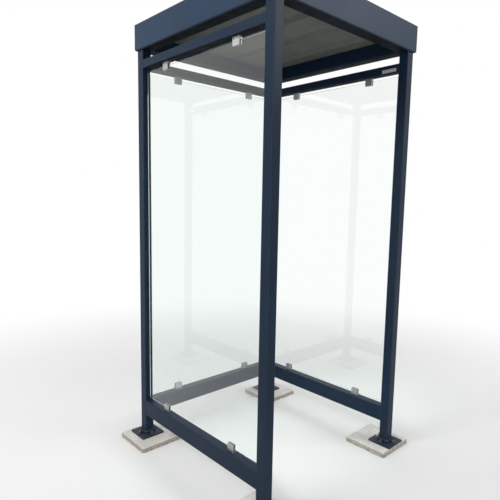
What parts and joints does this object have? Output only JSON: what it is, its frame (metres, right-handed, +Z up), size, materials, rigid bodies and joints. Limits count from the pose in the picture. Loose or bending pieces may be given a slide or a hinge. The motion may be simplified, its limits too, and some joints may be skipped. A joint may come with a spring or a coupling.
{
  "type": "ticket machine shelter",
  "caption": "Square open-fronted steel shelter with clear glass on three sides, clamped between rails, under a flat ribbed roof with a deep fascia, on concrete blocks.",
  "frame": {"origin": "on the ground, under the middle of the shelter's plan", "axes": "+Z up, +X to the right as seen from the open front, -Y out of the open front"},
  "size_m": [1.436, 1.36, 2.684],
  "materials": {
    "frame_paint": "semi-gloss powder coat",
    "fascia_paint": "semi-gloss coated sheet",
    "deck_paint": "matt coated sheet",
    "clear_glass": "clear",
    "clamp_metal": "satin",
    "gasket_rubber": "matt",
    "concrete": "rough cast concrete"
  },
  "bodies": {
    "root": {"footing_front_left": "concrete", "base_plate_front_left": "frame_paint", "post_front_left": "frame_paint", "footing_front_right": "concrete", "base_plate_front_right": "frame_paint", "post_front_right": "frame_paint", "footing_rear_left": "concrete", "base_plate_rear_left": "frame_paint", "post_rear_left": "frame_paint", "footing_rear_right": "concrete", "base_plate_rear_right": "frame_paint", "post_rear_right": "frame_paint", "bottom_rail_left": "frame_paint", "top_rail_left": "frame_paint", "glass_left": "clear_glass", "clamp_bodies_left": "clamp_metal", "clamp_covers_left": "clamp_metal", "clamp_gaskets_left": "gasket_rubber", "bottom_rail_rear": "frame_paint", "top_rail_rear": "frame_paint", "glass_rear": "clear_glass", "clamp_bodies_rear": "clamp_metal", "clamp_covers_rear": "clamp_metal", "clamp_gaskets_rear": "gasket_rubber", "bottom_rail_right": "frame_paint", "top_rail_right": "frame_paint", "glass_right": "clear_glass", "clamp_bodies_right": "clamp_metal", "clamp_covers_right": "clamp_metal", "clamp_gaskets_right": "gasket_rubber", "roof_beam_front": "frame_paint", "fascia_front": "fascia_paint", "roof_beam_rear": "frame_paint", "fascia_rear": "fascia_paint", "roof_beam_left": "frame_paint", "fascia_left": "fascia_paint", "roof_beam_right": "frame_paint", "fascia_right": "fascia_paint", "roof_deck": "deck_paint"}
  },
  "joints": []
}
